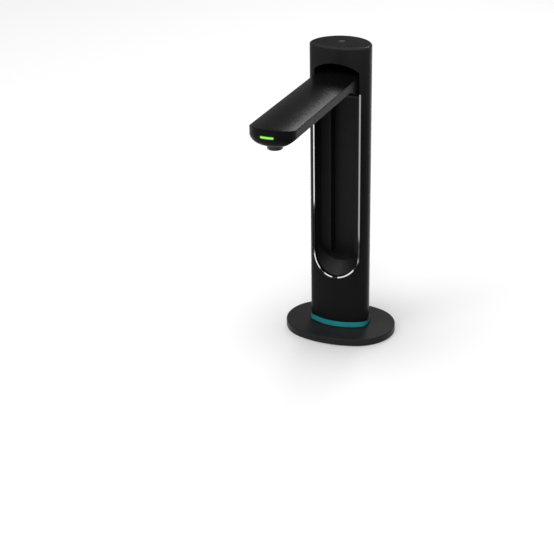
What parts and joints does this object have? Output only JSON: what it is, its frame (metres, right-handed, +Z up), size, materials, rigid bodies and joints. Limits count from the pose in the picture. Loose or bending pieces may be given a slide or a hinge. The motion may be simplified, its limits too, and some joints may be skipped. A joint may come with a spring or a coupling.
{
  "type": "overhead document scanner",
  "caption": "Upright oval column on a flat oval foot, with a camera arm that stands level out of a long slot and folds down into it, and a push button on top.",
  "frame": {"origin": "on the surface the scanner rests on, under the middle of the column's width and on the line between its shallow front and its deep back", "axes": "+Z up; -Y the way the arm points when it is out, to the document; +X to the right as seen from the document"},
  "size_m": [0.1318, 0.2647, 0.348],
  "materials": {
    "arm_black": "satin black moulding",
    "ballast_steel": "zinc-plated sheet",
    "board_green": "solder mask",
    "bush_plastic": "black acetal",
    "cable_film": "white film",
    "case_black": "satin black moulding",
    "component_black": "moulded package",
    "foot_black": "satin black moulding",
    "frame_aluminium": "die-cast",
    "inner_plastic": "moulded",
    "lamp_white": "milky diffuser",
    "led_yellow": "phosphor",
    "lens_black": "black anodised look",
    "lens_glass": "coated",
    "liner_black": "fine matt black moulding",
    "pad_rubber": "matt rubber",
    "ring_teal": "satin teal moulding",
    "screw_steel": "blackened",
    "shaft_steel": "ground bar",
    "socket_steel": "drawn shell",
    "spring_steel": "spring steel",
    "status_green": "clear green moulding",
    "stop_rubber": "matt rubber",
    "trim_chrome": "polished plating",
    "yoke_steel": "black-coated pressed sheet"
  },
  "bodies": {
    "column": {"base_pad": "pad_rubber", "base_plate": "ballast_steel", "base_weight": "ballast_steel", "base_cover": "foot_black", "base_screws": "screw_steel", "column_foot": "inner_plastic", "foot_screws": "screw_steel", "accent_ring": "ring_teal", "column_front_shell": "case_black", "column_rear_cover": "case_black", "rear_cover_screws": "screw_steel", "slot_trim": "trim_chrome", "recess_liner": "liner_black", "liner_screws": "screw_steel", "hinge_yoke": "yoke_steel", "yoke_screws": "screw_steel", "hinge_bushes": "bush_plastic", "disc_springs": "spring_steel", "arm_stop": "stop_rubber", "top_cap": "case_black", "button_board": "board_green", "button_board_screws": "screw_steel", "switch_body": "component_black", "button_spring": "spring_steel", "main_board": "board_green", "board_screws": "screw_steel", "board_parts": "component_black", "usb_socket": "socket_steel", "camera_cable": "cable_film"},
    "arm": {"arm_top_cover": "arm_black", "arm_bottom_shell": "arm_black", "arm_screws": "screw_steel", "arm_frame": "frame_aluminium", "hinge_shaft": "shaft_steel", "shaft_clips": "spring_steel", "status_light": "status_green", "status_board": "board_green", "lens_barrel": "lens_black", "lens_cell": "lens_black", "lens_glass": "lens_glass", "camera_holder": "component_black", "sensor_board": "board_green", "lamp_window": "lamp_white", "lamp_board": "board_green", "lamp_leds": "led_yellow", "arm_flex": "cable_film"},
    "button": {"capture_button": "case_black", "switch_plunger": "bush_plastic"}
  },
  "joints": [
    {"name": "arm_fold", "type": "hinge", "parent": "column", "child": "arm", "pos_m": [0, 0, 0.3025], "axis": [1, 0, 0], "range_deg": [0, 90]},
    {"name": "button_press", "type": "slide", "parent": "column", "child": "button", "axis": [0, 0, -1], "range_m": [0, 0.0008], "stiffness_N_per_m": 2000, "deforming": ["button_spring"]}
  ]
}
